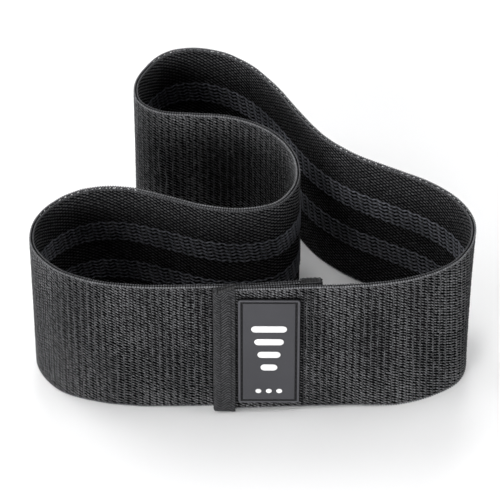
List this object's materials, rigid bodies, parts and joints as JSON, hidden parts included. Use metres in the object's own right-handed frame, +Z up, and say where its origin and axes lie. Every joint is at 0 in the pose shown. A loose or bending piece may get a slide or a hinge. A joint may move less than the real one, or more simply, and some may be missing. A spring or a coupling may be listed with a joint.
{
  "type": "fabric resistance band",
  "caption": "Wide fabric elastic loop band with grip threads inside, a taped lap seam and a sewn rubber label, standing on its edge in a folded loop.",
  "frame": {"origin": "centre of the standing loop's box, on the surface it stands on", "axes": "+Z up across the webbing's width, +X along the labelled front run towards the right lobe, -Y out through the label"},
  "size_m": [0.213, 0.1782, 0.0819],
  "materials": {
    "outer_knit": "matt charcoal ribbed knit",
    "inner_knit": "matt black plain weave",
    "core_rubber": "covered latex threads",
    "grip_thread": "blue-black latex-coated yarn, satin",
    "binding_tape": "charcoal herringbone twill",
    "label_rubber": "moulded soft PVC, satin grey",
    "label_mark": "white moulded print",
    "sewing_thread": "black polyester thread"
  },
  "bodies": {
    "root": {"outer_knit_face": "outer_knit", "elastic_core": "core_rubber", "inner_knit_face": "inner_knit", "outer_end_tape": "binding_tape", "inner_end_tape": "binding_tape", "label_patch": "label_rubber", "grip_thread_upper_1": "grip_thread", "grip_thread_upper_2": "grip_thread", "grip_thread_upper_3": "grip_thread", "grip_thread_upper_4": "grip_thread", "grip_thread_upper_5": "grip_thread", "grip_thread_upper_6": "grip_thread", "grip_thread_lower_1": "grip_thread", "grip_thread_lower_2": "grip_thread", "grip_thread_lower_3": "grip_thread", "grip_thread_lower_4": "grip_thread", "grip_thread_lower_5": "grip_thread", "grip_thread_lower_6": "grip_thread", "tape_needle_thread_1": "sewing_thread", "tape_bobbin_thread_1": "sewing_thread", "seam_needle_thread_1": "sewing_thread", "seam_bobbin_thread_1": "sewing_thread", "tape_needle_thread_2": "sewing_thread", "tape_bobbin_thread_2": "sewing_thread", "seam_needle_thread_2": "sewing_thread", "seam_bobbin_thread_2": "sewing_thread", "label_needle_thread": "sewing_thread", "label_bobbin_thread": "sewing_thread", "label_bar_1": "label_mark", "label_bar_2": "label_mark", "label_bar_3": "label_mark", "label_bar_4": "label_mark", "label_dot_1": "label_mark", "label_dot_2": "label_mark", "label_dot_3": "label_mark"}
  },
  "joints": []
}
